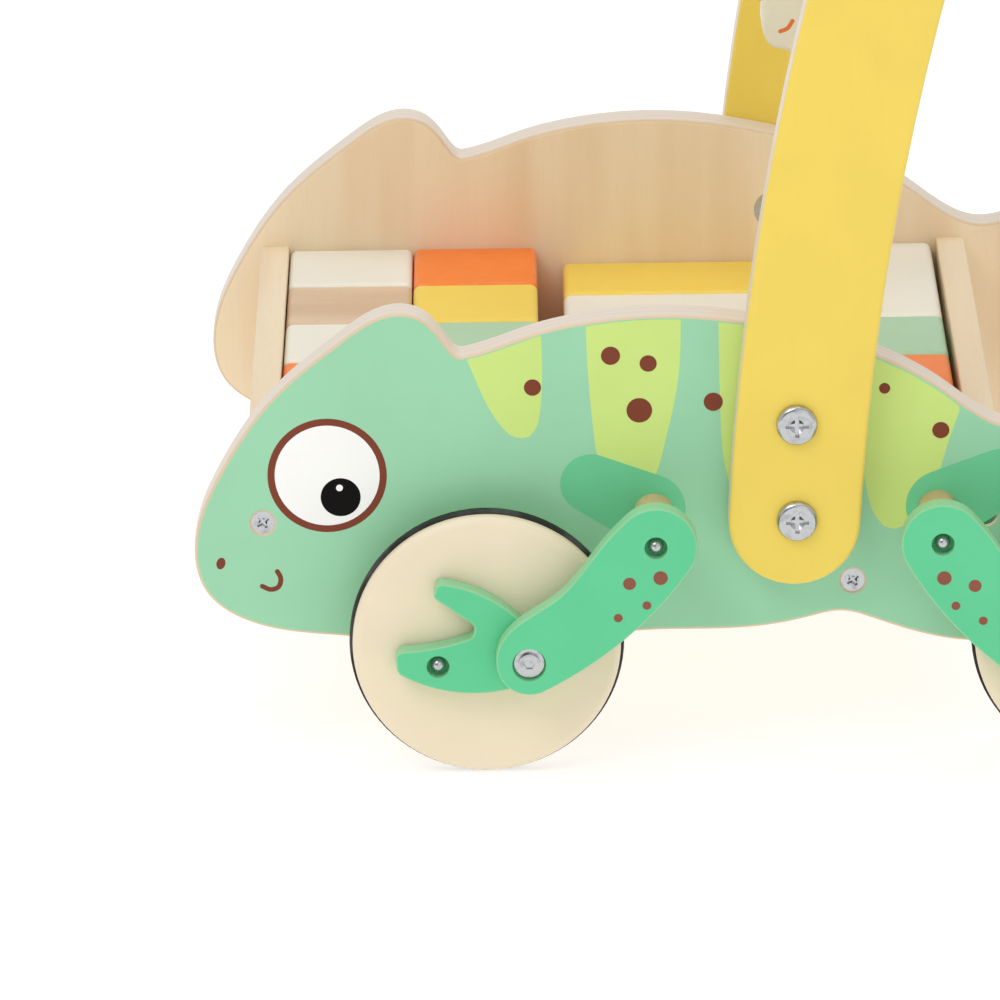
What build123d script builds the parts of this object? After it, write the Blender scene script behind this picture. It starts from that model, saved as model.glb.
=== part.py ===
from build123d import *
import math
import os

# Wooden push-along walker shaped like a lizard, with a tray of building blocks.
# Origin on the floor, midway between the axles. +X to the tail, +Z up, left is -Y.
# All sizes are in millimetres.

os.makedirs("parts", exist_ok=True)

# ---------------------------------------------------------------- main sizes
TRAY_HALF = 101.0        # panel inner face from the middle plane
PANEL_T = 12.0           # plywood of the panels and the handle arms
PANEL_OUT = TRAY_HALF + PANEL_T
EDGE_R = 1.3             # sanded edges of the panels and arms
FIT = 0.05               # radial gap of a shaft or screw in its hole
GAP = 0.3                # gap between faces that pass each other

AXLE_X = 94.8            # axles at -X and +X
AXLE_Z = 41.9
HUB_DROP = 15.6          # panel lobe below the axle
AXLE_R = 3.0
AXLE_CHAMFER = 0.6
BUSH_R = 4.5
BUSH_FLANGE_R = 7.5
BUSH_FLANGE_T = 1.5

DISC_R = 40.9            # wooden wheel
DISC_T = 10.0
DISC_EDGE_R = 2.3        # outer edge of the wheel
DISC_BACK_R = 1.2        # inner edge of the wheel
WHEEL_GAP = 9.5          # between a panel and its wheels
WHEEL_IN = PANEL_OUT + WHEEL_GAP
WHEEL_OUT = WHEEL_IN + DISC_T
TYRE_R = 41.9
TYRE_W = 3.8
TYRE_EDGE_R = 0.7
GROOVE_R = 39.3
GROOVE_FROM_BACK = 2.3
GROOVE_IN = WHEEL_IN + GROOVE_FROM_BACK
AXLE_IN_WHEEL = 7.5      # depth of the blind axle hole
INSERT_R = 3.5           # threaded insert for the crank pin
INSERT_T = 7.0
INSERT_BORE_R = 1.8

LIMB_T = 6.8             # plywood of the legs and feet
LIMB_EDGE_R = 0.7
FOOT_GAP = 0.5           # between a wheel and its foot
FOOT_IN = WHEEL_OUT + FOOT_GAP
FOOT_OUT = FOOT_IN + LIMB_T
LEG_IN = FOOT_OUT + GAP
LEG_OUT = LEG_IN + LIMB_T

# Leg linkage beside the front wheel: (X, Z) from the wheel's centre, leg folded.
HUB = Vector(0, 0)
SHOULDER = Vector(51.5, 35.4)
KNEE = Vector(12.8, -1.5)
CRANK_PIN = Vector(-14.9, -4.2)
SHOULDER_END_R = 12.5
KNEE_END_R = 9.8
FOOT_KNEE_R = 9.0
LEG_BELLY_R = 119.0      # long convex edge of a leg
# Hollow edge of a leg: distance from the shoulder towards the knee, and out from that line.
LEG_BACK = [(7.0, 12.3), (17.0, 10.9), (32.5, 9.3), (43.4, 11.2), (51.5, 11.7), (58.0, 9.4)]
LEG_TOE = (63.2, -0.5)   # lowest point of a leg, measured in the same way

PIN_R = 1.6              # shoulder and crank pins
RUN = 0.08               # radial gap where a limb turns on its pin
DOME_R = 2.3             # half-ball heads of the pins
DOME_SINK = 0.4
PIN_RECESS_R = 3.5
PIN_RECESS_T = 3.8
PIN_HEAD_R = 4.0
PIN_HEAD_T = 1.6
SPACER_R = 6.15

KNEE_BOLT_R = 2.0
KNEE_RECESS_R = 5.15
KNEE_RECESS_T = 2.6
KNEE_HEAD_R = 3.2
KNEE_HEAD_T = 1.3
WASHER_R = 4.55
WASHER_T = 0.7
LOOSE = 0.02             # keeps a washer and its bolt head apart
SOCKET_R = 1.7
SOCKET_T = 0.8
NUT_R = 3.6
NUT_T = 2.0
NUT_POCKET_R = 4.1
NUT_POCKET_T = 2.6

BOARD_T = 9.0
BOARD_EDGE_R = 0.6
TRAY_FRONT = -158.2      # inner face of the front board
TRAY_REAR = 53.2         # inner face of the rear board
BOARD_TOP = 98.8
FLOOR_TOP = 59.1
FLOOR_BOTTOM = FLOOR_TOP - BOARD_T
SCREW_Z = 75.6           # screws through the panels into the end boards
FLOOR_SCREW_X = (-118.0, 17.4)
SCREW_R = 1.75
SCREW_HEAD_R = 3.65
SCREW_SINK = 0.5         # screw heads below the painted face
SCREW_IN_BOARD = 16.0
SCREW_SPARE = 1.0        # depth left under a screw's end
SCREW_CROSS = (4.2, 0.9, 1.1, 35)    # cross recess: span, slot width, depth, turn
CROSS_CONE = 0.32        # radius of the cone amid a cross recess, as a share of its span

ARM_W = 40.2
ARM_END_X = -0.75        # centre of the lower rounded end
ARM_END_Z = 77.6
ARM_TOP_Z = 425.0        # centre of the upper rounded end, where the bar is
ARM_BEND_R = 880.0
ARM_LEAN = 3.15          # degrees from vertical at the lower end
ARM_OUT = PANEL_OUT + PANEL_T
ARM_BOLTS = [(0, 78.3), (0, 109.0)]
ARM_BOLT_R = 3.0
BOLT_HEAD_R = 6.25
BOLT_HEAD_T = 2.6
BOLT_HEAD_EDGE_R = 1.5
BOLT_CROSS = (7.0, 1.3, 1.4, 0)
SLEEVE_R = 4.2           # sleeve nuts of the arm bolts
SLEEVE_HEAD_R = 6.2
SLEEVE_HEAD_T = 2.0
BAR_R = 14.0
BAR_SCREW_R = 2.5
BAR_SCREW_IN = 26.0

ROD_Z = 214.0            # rod that carries the bird
ROD_R = 4.0
ROD_IN_ARM = 6.0
BIRD_T = 14.0
BIRD_EDGE_R = 1.6
BEAK = [(-2.0, 207.0), (-14.5, 211.0), (-2.0, 215.5)]
BEAK_T = 7.0
BEAK_TIP_R = 1.2
RING_R = 8.0
RING_T = 4.0
RING_EDGE_R = 1.0

BLOCK = 40.0             # grid of the short blocks
BLOCK_H = 38.5
BRICK_W = 35.0           # the long bricks
BRICK_L = 80.0
BRICK_H = 33.0
BLOCK_GAP = 0.4          # between neighbouring columns
ROW_GAP = 0.2            # between neighbouring rows
BLOCK_EDGE_R = 2.4
BLOCK_LIFT = 0.1         # under the blocks
BLOCK_REST = FLOOR_TOP + BLOCK_LIFT
FIRST_ROW = TRAY_HALF - GAP
COLUMN_1 = TRAY_FRONT + BLOCK_GAP
COLUMN_2 = COLUMN_1 + BLOCK + BLOCK_GAP
COLUMN_3 = -69.0
COLUMN_4 = COLUMN_3 + BRICK_L + BLOCK_GAP

ENDS = ("front", "rear")
SIDES = ("left", "right")
SWING = {"front": 0.0, "rear": 5.0}      # degrees that the legs have swung at rest


# ------------------------------------------------------------------- helpers
def out_plane(distance):
    """Plane facing -Y at a distance from the middle plane; its sketches are (X, Z)."""
    return Plane.XZ.offset(distance)


def arm_x(height):
    """X of the arms' curved centre line at a height."""
    lean = math.radians(ARM_LEAN)
    angle = math.asin(math.sin(lean) + (height - ARM_END_Z) / ARM_BEND_R)
    return ARM_END_X + ARM_BEND_R * (math.cos(lean) - math.cos(angle))


def circle_meet(centre_a, radius_a, centre_b, radius_b):
    """Where two circles cross, on the right of the line from a to b."""
    span = centre_b - centre_a
    along = (radius_a**2 - radius_b**2 + span.length**2) / (2 * span.length)
    across = math.sqrt(radius_a**2 - along**2)
    ahead = span.normalized()
    return centre_a + ahead * along + Vector(ahead.Y, -ahead.X) * across


def linkage(swing):
    """Knee, crank pin and the foot's own turn when a leg has swung by some degrees."""
    knee = SHOULDER + (KNEE - SHOULDER).rotate(Axis.Z, swing)
    crank = circle_meet(HUB, CRANK_PIN.length, knee, (CRANK_PIN - KNEE).length)
    before = CRANK_PIN - KNEE
    after = crank - knee
    turn = math.degrees(math.atan2(after.Y, after.X) - math.atan2(before.Y, before.X))
    return knee, crank, (turn + 180) % 360 - 180


def put(end, local):
    """A linkage point as (X, Z): as drawn at the front wheel, mirrored at the rear one."""
    sign = 1 if end == "front" else -1
    return (sign * (local.X - AXLE_X), local.Y + AXLE_Z)


def place(end, side):
    """Mirror the open builder's part from the front left corner to its own corner."""
    if end == "rear":
        mirror(about=Plane.YZ, mode=Mode.REPLACE)
    if side == "right":
        mirror(about=Plane.XZ, mode=Mode.REPLACE)


def discs(start, stop, radius, points, mode=Mode.ADD):
    """Round discs or holes at (X, Z) points, between two distances from the middle."""
    outwards = (Align.CENTER, Align.CENTER, Align.MIN)
    with Locations(out_plane(start)):
        with Locations(*points):
            Cylinder(radius, stop - start, align=outwards, mode=mode)


def holes(start, stop, radius, points):
    """Round holes, made as discs are."""
    discs(start, stop, radius, points, Mode.SUBTRACT)


def domes(top, radius, points):
    """Half-ball heads whose tops are at a distance from the middle plane."""
    with Locations(out_plane(top - radius)):
        with Locations(*points):
            Sphere(radius, arc_size1=0, align=(Align.CENTER, Align.CENTER, Align.MIN))


def cut_crosses(top, sizes, points):
    """Cross-head recesses, with a cone in the middle, cut inwards from a distance."""
    span, width, depth, turn = sizes
    inwards = (Align.CENTER, Align.CENTER, Align.MAX)
    with Locations(out_plane(top)):
        with Locations(*points):
            Box(span, width, depth, rotation=(0, 0, turn), align=inwards, mode=Mode.SUBTRACT)
            Box(width, span, depth, rotation=(0, 0, turn), align=inwards, mode=Mode.SUBTRACT)
            Cone(width / 2, span * CROSS_CONE, depth, align=inwards, mode=Mode.SUBTRACT)


def save(label, builder):
    """Name one piece and write its file."""
    builder.part.label = label
    export_step(builder.part, f"parts/{label}.step")


AXLES = [put(end, HUB) for end in ENDS]
SHOULDERS = [put(end, SHOULDER) for end in ENDS]
FLOOR_SCREWS = [(x, FLOOR_TOP - BOARD_T / 2) for x in FLOOR_SCREW_X]
END_SCREWS = {
    "front": (TRAY_FRONT - BOARD_T / 2, SCREW_Z),
    "rear": (TRAY_REAR + BOARD_T / 2, SCREW_Z),
}
SCREWS = FLOOR_SCREWS + list(END_SCREWS.values())
BAR_POINT = (arm_x(ARM_TOP_Z), ARM_TOP_Z)
ROD_POINT = (arm_x(ROD_Z), ROD_Z)


# -------------------------------------------------------------- side panels
def side_panel(side):
    """Plywood lizard: back, tail lobe, belly with two hub lobes, head with a crest."""
    with BuildPart() as panel:
        with BuildSketch(out_plane(TRAY_HALF)):
            with BuildLine():
                Spline(
                    (-101.0, 128.0), (-95.0, 129.5), (-82.0, 134.1), (-62.0, 138.7), (-38.0, 140.3),
                    (-8.0, 136.8), (25.3, 126.8), (44.0, 116.5), (57.0, 107.0), (66.5, 103.4),
                    (77.0, 104.9), (104.0, 114.5), (137.0, 118.5), (171.0, 101.0), (183.5, 74.0),
                    (171.0, 48.0), (142.0, 38.0), (AXLE_X + 23, 34.0), (AXLE_X + 11, 28.2),
                    (AXLE_X, AXLE_Z - HUB_DROP), (AXLE_X - 11, 28.2), (AXLE_X - 24, 33.0),
                    (52.7, 34.4), (35.0, 38.0), (23.3, 42.1), (14.1, 44.5), (4.0, 42.7),
                    (-12.0, 39.8), (-46.0, 39.0), (24 - AXLE_X, 34.6), (11 - AXLE_X, 28.8),
                    (-AXLE_X, AXLE_Z - HUB_DROP), (-11 - AXLE_X, 28.8), (-24 - AXLE_X, 34.6),
                    (-140.0, 38.6), (-166.6, 43.2), (-180.4, 53.2), (-183.8, 66.5), (-175.4, 92.0),
                    (-159.4, 115.2), (-138.7, 133.0), (-120.0, 141.9), (-113.2, 140.0),
                    (-108.6, 135.6), (-105.3, 130.9),
                    periodic=True,
                )
            make_face()
        extrude(amount=PANEL_T)
        faces = panel.faces().sort_by(Axis.Y)
        fillet(faces[0].edges() + faces[-1].edges(), radius=EDGE_R)
        holes(TRAY_HALF, PANEL_OUT, BUSH_R + FIT, AXLES)
        holes(TRAY_HALF, PANEL_OUT, SLEEVE_R + FIT, ARM_BOLTS)
        holes(TRAY_HALF, TRAY_HALF + SLEEVE_HEAD_T, SLEEVE_HEAD_R + FIT, ARM_BOLTS)
        holes(TRAY_HALF, PANEL_OUT, PIN_R + FIT, SHOULDERS)
        holes(TRAY_HALF, TRAY_HALF + PIN_HEAD_T, PIN_HEAD_R + FIT, SHOULDERS)
        with Locations(out_plane(PANEL_OUT)):
            with Locations(*SCREWS):
                CounterSinkHole(SCREW_R + FIT, SCREW_HEAD_R + SCREW_SINK + FIT, PANEL_T, 90)
        place("front", side)
    save(f"side_panel_{side}", panel)


# ------------------------------------------------------------- tray boards
def tray_board(label, low_x, high_x, top, screws):
    """Upright or flat board across the tray, with screw holes in both ends."""
    with BuildPart() as board:
        with BuildSketch(Plane.XY.offset(FLOOR_BOTTOM)):
            with Locations(((low_x + high_x) / 2, 0)):
                Rectangle(high_x - low_x, 2 * TRAY_HALF)
        extrude(amount=top - FLOOR_BOTTOM)
        if top > FLOOR_TOP:
            rim = board.faces().sort_by(Axis.Z)[-1]
            fillet(rim.edges().filter_by(Axis.Y), radius=BOARD_EDGE_R)
        holes(TRAY_HALF - SCREW_IN_BOARD, TRAY_HALF, SCREW_R + FIT, screws)
        holes(-TRAY_HALF, SCREW_IN_BOARD - TRAY_HALF, SCREW_R + FIT, screws)
    save(label, board)


def board_screws():
    """Countersunk cross-head screws through the panels into the boards."""
    top = PANEL_OUT - SCREW_SINK
    with BuildPart() as screws:
        with Locations(out_plane(top)):
            with Locations(*SCREWS):
                under = (Align.CENTER, Align.CENTER, Align.MAX)
                Cone(SCREW_R, SCREW_HEAD_R, SCREW_HEAD_R - SCREW_R, align=under)
        discs(TRAY_HALF - SCREW_IN_BOARD + SCREW_SPARE, top, SCREW_R, SCREWS)
        cut_crosses(top, SCREW_CROSS, SCREWS)
        mirror(about=Plane.XZ)
    save("board_screws", screws)


# --------------------------------------------------------------- wheel pairs
def axle_bushes():
    """Flanged plastic bushes, one in each axle hole of the panels."""
    with BuildPart() as bushes:
        discs(TRAY_HALF, PANEL_OUT, BUSH_R, AXLES)
        discs(PANEL_OUT, PANEL_OUT + BUSH_FLANGE_T, BUSH_FLANGE_R, AXLES)
        holes(TRAY_HALF, PANEL_OUT + BUSH_FLANGE_T, AXLE_R + FIT, AXLES)
        mirror(about=Plane.XZ)
    save("axle_bushes", bushes)


def axle(end):
    """Steel rod with both ends held in blind holes in the wheels."""
    half = WHEEL_IN + AXLE_IN_WHEEL
    with BuildPart() as rod:
        discs(-half, half, AXLE_R, [put(end, HUB)])
        chamfer(rod.edges().filter_by(GeomType.CIRCLE), length=AXLE_CHAMFER)
    save(f"{end}_axle", rod)


def wheel(end, side):
    """Plywood disc with a tyre groove, an axle hole and a hole for the crank insert."""
    hub = put(end, HUB)
    crank = put(end, linkage(SWING[end])[1])
    with BuildPart() as body:
        discs(WHEEL_IN, WHEEL_OUT, DISC_R, [hub])
        rims = body.edges().filter_by(GeomType.CIRCLE).sort_by(Axis.Y)
        fillet(rims[0], radius=DISC_EDGE_R)
        fillet(body.edges().filter_by(GeomType.CIRCLE).sort_by(Axis.Y)[-1], radius=DISC_BACK_R)
        with BuildSketch(out_plane(GROOVE_IN)):
            with Locations(hub):
                Circle(TYRE_R)
                Circle(GROOVE_R, mode=Mode.SUBTRACT)
        extrude(amount=TYRE_W, mode=Mode.SUBTRACT)
        holes(WHEEL_IN, WHEEL_IN + AXLE_IN_WHEEL, AXLE_R + FIT, [hub])
        holes(WHEEL_OUT - INSERT_T, WHEEL_OUT, INSERT_R + FIT, [crank])
        place("front", side)
    save(f"{end}_wheel_{side}", body)


def tyres(end):
    """Rubber bands in the grooves of one pair of wheels."""
    with BuildPart() as bands:
        with BuildSketch(out_plane(GROOVE_IN + LOOSE)):
            with Locations(put(end, HUB)):
                Circle(TYRE_R)
                Circle(GROOVE_R + LOOSE, mode=Mode.SUBTRACT)
        extrude(amount=TYRE_W - 2 * LOOSE)
        rims = bands.edges().filter_by(GeomType.CIRCLE).sort_by(SortBy.RADIUS)
        fillet(rims[-2:], radius=TYRE_EDGE_R)
        mirror(about=Plane.XZ)
    save(f"{end}_tyres", bands)


def crank_inserts(end):
    """Threaded brass inserts, flush in the faces of one pair of wheels."""
    crank = put(end, linkage(SWING[end])[1])
    with BuildPart() as inserts:
        discs(WHEEL_OUT - INSERT_T, WHEEL_OUT, INSERT_R, [crank])
        holes(WHEEL_OUT - INSERT_T, WHEEL_OUT, INSERT_BORE_R, [crank])
        mirror(about=Plane.XZ)
    save(f"{end}_crank_inserts", inserts)


# ------------------------------------------------------------ legs and feet
def rim_arc(radius, ends):
    """Arc that wraps round two end circles, on the left of the line between them."""
    (start, start_r), (stop, stop_r) = ends
    centre = circle_meet(start, radius - start_r, stop, radius - stop_r)
    touch = [point + (point - centre).normalized() * size for point, size in ends]
    middle = centre + ((start + stop) / 2 - centre).normalized() * radius
    return ThreePointArc(touch[0], middle, touch[1])


def leg(end, side):
    """Bent plywood leg between the shoulder pin and the knee bolt."""
    knee = linkage(SWING[end])[0]
    ends = [(SHOULDER, SHOULDER_END_R), (knee, KNEE_END_R)]
    ahead = (knee - SHOULDER).normalized()
    aside = Vector(ahead.Y, -ahead.X)
    back_points = [SHOULDER + ahead * along + aside * out for along, out in LEG_BACK]
    toe = SHOULDER + ahead * LEG_TOE[0] + aside * LEG_TOE[1]
    pin = [put("front", SHOULDER)]
    bolt = [put("front", knee)]
    wheel_plane = Plane(origin=(-AXLE_X, -LEG_IN, AXLE_Z), x_dir=(1, 0, 0), z_dir=(0, -1, 0))
    with BuildPart() as limb:
        with BuildSketch(wheel_plane):
            with BuildLine():
                belly = rim_arc(LEG_BELLY_R, ends)
                top = ThreePointArc(
                    belly @ 0, SHOULDER - ahead * SHOULDER_END_R, SHOULDER + aside * SHOULDER_END_R
                )
                Spline(top @ 1, *back_points, toe, belly @ 1, tangents=[top % 1, belly % 1 * -1])
            make_face()
        extrude(amount=LIMB_T)
        faces = limb.faces().sort_by(Axis.Y)
        fillet(faces[0].edges() + faces[-1].edges(), radius=LIMB_EDGE_R)
        holes(LEG_IN, LEG_OUT, PIN_R + RUN, pin)
        holes(LEG_OUT - PIN_RECESS_T, LEG_OUT, PIN_RECESS_R, pin)
        holes(LEG_IN, LEG_OUT, KNEE_BOLT_R + FIT, bolt)
        holes(LEG_OUT - KNEE_RECESS_T, LEG_OUT, KNEE_RECESS_R, bolt)
        place(end, side)
    save(f"{end}_leg_{side}", limb)


def knee_bolt(end, side):
    """Socket-head bolt with a washer in the leg and a nut behind the foot."""
    spot = [put("front", linkage(SWING[end])[0])]
    seat = LEG_OUT - KNEE_RECESS_T
    head = seat + WASHER_T + LOOSE
    nut = FOOT_IN + GAP
    with BuildPart() as bolt:
        discs(nut, head, KNEE_BOLT_R, spot)
        discs(head, head + KNEE_HEAD_T, KNEE_HEAD_R, spot)
        with BuildSketch(out_plane(head + KNEE_HEAD_T)):
            with Locations(*spot):
                RegularPolygon(SOCKET_R, 6)
        extrude(amount=-SOCKET_T, mode=Mode.SUBTRACT)
        with BuildSketch(out_plane(seat)):
            with Locations(*spot):
                Circle(WASHER_R)
                Circle(KNEE_BOLT_R + FIT, mode=Mode.SUBTRACT)
        extrude(amount=WASHER_T)
        with BuildSketch(out_plane(nut)):
            with Locations(*spot):
                RegularPolygon(NUT_R, 6)
                Circle(KNEE_BOLT_R + FIT, mode=Mode.SUBTRACT)
        extrude(amount=NUT_T)
        place(end, side)
    save(f"{end}_knee_bolt_{side}", bolt)


def foot(end, side):
    """Two-toed plywood foot; its outline is drawn from the knee as if folded."""
    knee, crank, turn = linkage(SWING[end])
    knee_x, knee_z = put("front", knee)
    turn = math.radians(turn)
    knee_plane = Plane(
        origin=(knee_x, -FOOT_IN, knee_z), x_dir=(math.cos(turn), 0, math.sin(turn)), z_dir=(0, -1, 0)
    )
    bolt = [(knee_x, knee_z)]
    pin = [put("front", crank)]
    with BuildPart() as limb:
        with BuildSketch(knee_plane) as outline:
            with BuildLine():
                instep = ThreePointArc((1.5, 7.0), (-9.7, 17.7), (-27.6, 24.0))
                upper_toe = Line(instep @ 1, (-28.9, 19.4))
                cleft_top = Line(upper_toe @ 1, (-13.2, 8.0))
                cleft_low = ThreePointArc(cleft_top @ 1, (-28.3, 3.4), (-40.6, 2.2))
                lower_toe = Line(cleft_low @ 1, (-40.2, -4.8))
                sole = ThreePointArc(lower_toe @ 1, (-20.0, -11.4), (1.0, -8.0))
                Line(sole @ 1, instep @ 0)
            make_face()
            rounds = ((instep @ 1, 2.2), (upper_toe @ 1, 1.8), (cleft_top @ 1, 3.0))
            rounds += ((cleft_low @ 1, 2.6), (lower_toe @ 1, 3.4))
            for corner, radius in rounds:
                fillet(outline.vertices().sort_by_distance(corner)[0], radius=radius)
            Circle(FOOT_KNEE_R)
        extrude(amount=LIMB_T)
        faces = limb.faces().sort_by(Axis.Y)
        fillet(faces[0].edges() + faces[-1].edges(), radius=LIMB_EDGE_R)
        holes(FOOT_IN, FOOT_OUT, KNEE_BOLT_R + RUN, bolt)
        holes(FOOT_IN, FOOT_IN + NUT_POCKET_T, NUT_POCKET_R, bolt)
        holes(FOOT_IN, FOOT_OUT, PIN_R + FIT, pin)
        holes(FOOT_OUT - PIN_RECESS_T, FOOT_OUT, PIN_RECESS_R, pin)
        place(end, side)
    save(f"{end}_foot_{side}", limb)


def crank_pin(end, side):
    """Domed pin in the foot; it stops just short of the wheel, where the linkage is open."""
    spot = [put("front", linkage(SWING[end])[1])]
    top = FOOT_OUT - DOME_SINK
    with BuildPart() as pin:
        discs(WHEEL_OUT + GAP, top - DOME_R, PIN_R, spot)
        domes(top, DOME_R, spot)
        place(end, side)
    save(f"{end}_crank_pin_{side}", pin)


def shoulder_pins():
    """Pins with a flat head in the panel and a dome in the leg, one at each shoulder."""
    top = LEG_OUT - DOME_SINK
    with BuildPart() as pins:
        discs(TRAY_HALF, TRAY_HALF + PIN_HEAD_T, PIN_HEAD_R, SHOULDERS)
        discs(TRAY_HALF, top - DOME_R, PIN_R, SHOULDERS)
        domes(top, DOME_R, SHOULDERS)
        mirror(about=Plane.XZ)
    save("shoulder_pins", pins)


def shoulder_spacers():
    """Wooden tubes that hold the legs out past the wheels."""
    with BuildPart() as spacers:
        discs(PANEL_OUT, LEG_IN - GAP, SPACER_R, SHOULDERS)
        holes(PANEL_OUT, LEG_IN - GAP, PIN_R + FIT, SHOULDERS)
        mirror(about=Plane.XZ)
    save("shoulder_spacers", spacers)


# ------------------------------------------------------------- arms and bar
def arm(side):
    """Curved plywood arm from the panel up to the bar."""
    lean = math.radians(ARM_LEAN)
    top_lean = math.asin(math.sin(lean) + (ARM_TOP_Z - ARM_END_Z) / ARM_BEND_R)
    centre = (
        ARM_END_X + ARM_BEND_R * math.cos(lean),
        ARM_END_Z - ARM_BEND_R * math.sin(lean),
    )
    with BuildPart() as plank:
        with BuildSketch(out_plane(PANEL_OUT)):
            with BuildLine(mode=Mode.PRIVATE):
                middle = CenterArc(
                    centre, ARM_BEND_R, 180 - math.degrees(top_lean), math.degrees(top_lean - lean)
                )
            SlotArc(middle, ARM_W)
        extrude(amount=PANEL_T)
        faces = plank.faces().sort_by(Axis.Y)
        fillet(faces[0].edges() + faces[-1].edges(), radius=EDGE_R)
        holes(PANEL_OUT, ARM_OUT, ARM_BOLT_R + FIT, ARM_BOLTS)
        holes(PANEL_OUT, ARM_OUT, BAR_SCREW_R + FIT, [BAR_POINT])
        holes(PANEL_OUT, PANEL_OUT + ROD_IN_ARM, ROD_R + FIT, [ROD_POINT])
        place("front", side)
    save(f"handle_arm_{side}", plank)


def pan_bolts(label, radius, inner_end, points):
    """Pan-head cross bolts put in from outside both arms."""
    with BuildPart() as bolts:
        discs(ARM_OUT, ARM_OUT + BOLT_HEAD_T, BOLT_HEAD_R, points)
        rims = bolts.faces().filter_by(Plane.XZ).sort_by(Axis.Y)[: len(points)]
        fillet([edge for rim in rims for edge in rim.edges()], radius=BOLT_HEAD_EDGE_R)
        discs(inner_end, ARM_OUT, radius, points)
        cut_crosses(ARM_OUT + BOLT_HEAD_T, BOLT_CROSS, points)
        mirror(about=Plane.XZ)
    save(label, bolts)


def sleeve_nuts():
    """Flat-headed sleeve nuts, put in from the tray side, that take the arm bolts."""
    with BuildPart() as sleeves:
        discs(TRAY_HALF, PANEL_OUT, SLEEVE_R, ARM_BOLTS)
        discs(TRAY_HALF, TRAY_HALF + SLEEVE_HEAD_T, SLEEVE_HEAD_R, ARM_BOLTS)
        holes(TRAY_HALF + SLEEVE_HEAD_T, PANEL_OUT, ARM_BOLT_R + FIT, ARM_BOLTS)
        cut_crosses(TRAY_HALF + SCREW_CROSS[2], SCREW_CROSS, ARM_BOLTS)
        mirror(about=Plane.XZ)
    save("arm_sleeve_nuts", sleeves)


def handle_bar():
    """Round wooden bar between the arms, drilled for its end screws."""
    with BuildPart() as bar:
        discs(-PANEL_OUT, PANEL_OUT, BAR_R, [BAR_POINT])
        holes(PANEL_OUT - BAR_SCREW_IN, PANEL_OUT, BAR_SCREW_R + FIT, [BAR_POINT])
        holes(-PANEL_OUT, BAR_SCREW_IN - PANEL_OUT, BAR_SCREW_R + FIT, [BAR_POINT])
    save("handle_bar", bar)


# ------------------------------------------------------- the bird on its rod
def bird_rod():
    """Wooden rod between the arms, its ends in blind holes."""
    half = PANEL_OUT + ROD_IN_ARM
    with BuildPart() as rod:
        discs(-half, half, ROD_R, [ROD_POINT])
    save("bird_rod", rod)


def bird_rings():
    """Rings fixed on the rod, one each side of the bird."""
    start = BIRD_T / 2 + GAP
    with BuildPart() as rings:
        discs(start, start + RING_T, RING_R, [ROD_POINT])
        fillet(rings.edges().filter_by(GeomType.CIRCLE), radius=RING_EDGE_R)
        holes(start, start + RING_T, ROD_R, [ROD_POINT])
        mirror(about=Plane.XZ)
    save("bird_rings", rings)


def bird():
    """Flat bird, free to spin on the rod, with a slot for its beak."""
    with BuildPart() as body:
        with BuildSketch(out_plane(-BIRD_T / 2)):
            with BuildLine():
                Spline(
                    (-6.8, 203.8), (-5.6, 197.2), (-3.0, 194.0), (0.6, 193.2), (6.0, 188.6), (18.0, 184.6),
                    (33.0, 190.0), (45.5, 204.0), (49.5, 215.5), (42.0, 217.5), (30.5, 214.5),
                    (22.0, 219.0), (15.5, 228.0), (5.0, 231.5), (-4.0, 225.5), (-6.8, 214.0),
                    periodic=True,
                )
            make_face()
        extrude(amount=BIRD_T)
        faces = body.faces().sort_by(Axis.Y)
        fillet(faces[0].edges() + faces[-1].edges(), radius=BIRD_EDGE_R)
        holes(-BIRD_T / 2, BIRD_T / 2, ROD_R + RUN, [ROD_POINT])
        with BuildSketch(out_plane(-BEAK_T / 2)):
            with BuildLine():
                Polyline(*BEAK, close=True)
            make_face()
        extrude(amount=BEAK_T, mode=Mode.SUBTRACT)
    save("bird", body)


def bird_beak():
    """Wooden wedge glued into the bird's slot."""
    with BuildPart() as wedge:
        with BuildSketch(out_plane(-BEAK_T / 2)):
            with BuildLine():
                Polyline(*BEAK, close=True)
            make_face()
        extrude(amount=BEAK_T)
        tip = wedge.edges().filter_by(Axis.Y).sort_by(Axis.X)[0]
        fillet(tip, radius=BEAK_TIP_R)
    save("bird_beak", wedge)


# -------------------------------------------------------------------- blocks
def blocks(label, start_x, length, height, rows):
    """Blocks of one colour in one column; rows are (far edge Y, width) pairs."""
    with BuildPart() as stack:
        for far_y, width in rows:
            with BuildSketch(Plane.XY.offset(BLOCK_REST)):
                with Locations((start_x + length / 2, far_y - width / 2)):
                    Rectangle(length, width)
            extrude(amount=height)
        fillet(stack.edges(), radius=BLOCK_EDGE_R)
    save(label, stack)


def rows_of(first, width, picks):
    """The picked rows of a column whose rows all have one width."""
    return [(first - row * (width + ROW_GAP), width) for row in picks]


# --------------------------------------------------------------- make it all
for side in SIDES:
    side_panel(side)
    arm(side)
    for end in ENDS:
        wheel(end, side)
        leg(end, side)
        knee_bolt(end, side)
        foot(end, side)
        crank_pin(end, side)

for end in ENDS:
    axle(end)
    tyres(end)
    crank_inserts(end)

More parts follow.
